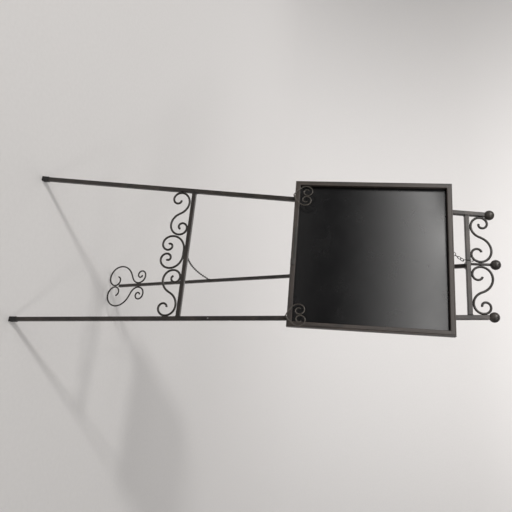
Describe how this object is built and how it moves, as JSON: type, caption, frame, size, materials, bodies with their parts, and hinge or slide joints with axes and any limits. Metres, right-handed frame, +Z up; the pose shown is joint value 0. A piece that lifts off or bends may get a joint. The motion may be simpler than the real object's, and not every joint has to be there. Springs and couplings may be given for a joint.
{
  "type": "display easel",
  "caption": "Folding floor easel in scrolled ironwork with ball finials, heart-shaped hooks, a spreader chain and a framed writing board.",
  "frame": {"origin": "centre of the easel's base on the floor, midway between the front feet and the rear foot", "axes": "+Z up, -Y the front, +X to the right of a viewer in front"},
  "size_m": [0.5868, 0.597, 1.6894],
  "materials": {
    "iron": "bronze-black powder coat, satin, faintly mottled",
    "wire": "bronze-black powder coat, satin",
    "wood": "dark stained, satin varnish",
    "panel": "gloss black writing surface",
    "backing": "plain brown fibreboard",
    "steel": "zinc-plated steel",
    "cap": "black moulded plastic"
  },
  "bodies": {
    "frame": {"left_leg_tube": "iron", "left_foot_cap": "cap", "left_finial_ball": "iron", "right_leg_tube": "iron", "right_foot_cap": "cap", "right_finial_ball": "iron", "lower_crossbar": "iron", "upper_crossbar": "iron", "upper_left_scroll": "wire", "upper_right_scroll": "wire", "lower_left_scroll": "wire", "lower_right_scroll": "wire", "lower_centre_scroll": "wire", "centre_finial_rod": "wire", "centre_finial_ball": "iron", "hinge_bracket": "iron", "hinge_bolt": "steel", "hinge_nut": "steel", "crossbar_chain_eye": "wire", "hanging_hook": "wire"},
    "rear_leg": {"rear_leg_tube": "iron", "rear_end_cap": "cap", "rear_foot_left_scroll": "wire", "rear_foot_right_scroll": "wire", "rear_leg_chain_eye": "wire"},
    "chain_front": {"front_chain_length": "wire"},
    "chain_rear": {"rear_chain_length": "wire"},
    "left_hook": {"left_hook_peg": "wire", "left_hook_heart": "wire"},
    "right_hook": {"right_hook_peg": "wire", "right_hook_heart": "wire"},
    "board": {"board_bottom_rail": "wood", "board_top_rail": "wood", "board_left_rail": "wood", "board_right_rail": "wood", "board_panel": "panel", "board_backing": "backing", "turn_button_bottom": "steel", "turn_button_top": "steel", "turn_button_left": "steel", "turn_button_right": "steel", "board_hanging_pin": "steel", "board_edge_block": "wood", "board_front_strip": "iron"},
    "hanging_chain": {"hanging_chain": "wire"}
  },
  "joints": [
    {"name": "rear_leg_fold", "type": "hinge", "parent": "frame", "child": "rear_leg", "pos_m": [0, -0.04438, 1.58384], "axis": [1, 0, 0], "range_deg": [-19.2, 0]},
    {"name": "front_chain_swing", "type": "hinge", "parent": "frame", "child": "chain_front", "pos_m": [-0.0035, -0.18965, 0.61917], "axis": [1, 0, 0], "range_deg": [-82.3, 0]},
    {"name": "rear_chain_swing", "type": "hinge", "parent": "rear_leg", "child": "chain_rear", "pos_m": [0.0011, 0.16049, 0.5764], "axis": [1, 0, 0], "range_deg": [0, 94.6]},
    {"name": "board_lift", "type": "slide", "parent": "frame", "child": "board", "axis": [0, 0, 1], "range_m": [0, 0.07], "deforming": ["hanging_chain"]},
    {"name": "hanging_chain_swing", "type": "hinge", "parent": "frame", "child": "hanging_chain", "pos_m": [-0.0097, -0.07041, 1.57326], "axis": [0, 0.9903, -0.1392], "range_deg": [-33.4, 0]},
    {"name": "left_hook_pull", "type": "slide", "parent": "frame", "child": "left_hook", "axis": [0, -0.9903, 0.1392], "range_m": [0, 0.03]},
    {"name": "right_hook_pull", "type": "slide", "parent": "frame", "child": "right_hook", "axis": [0, -0.9903, 0.1392], "range_m": [0, 0.03]}
  ],
  "couplings": [
    {"joint": "front_chain_swing", "follows": "rear_leg_fold", "ratio": 4.2735},
    {"joint": "rear_chain_swing", "follows": "rear_leg_fold", "ratio": -4.9175},
    {"joint": "hanging_chain_swing", "follows": "board_lift", "rad_per_m": -8.3028}
  ]
}
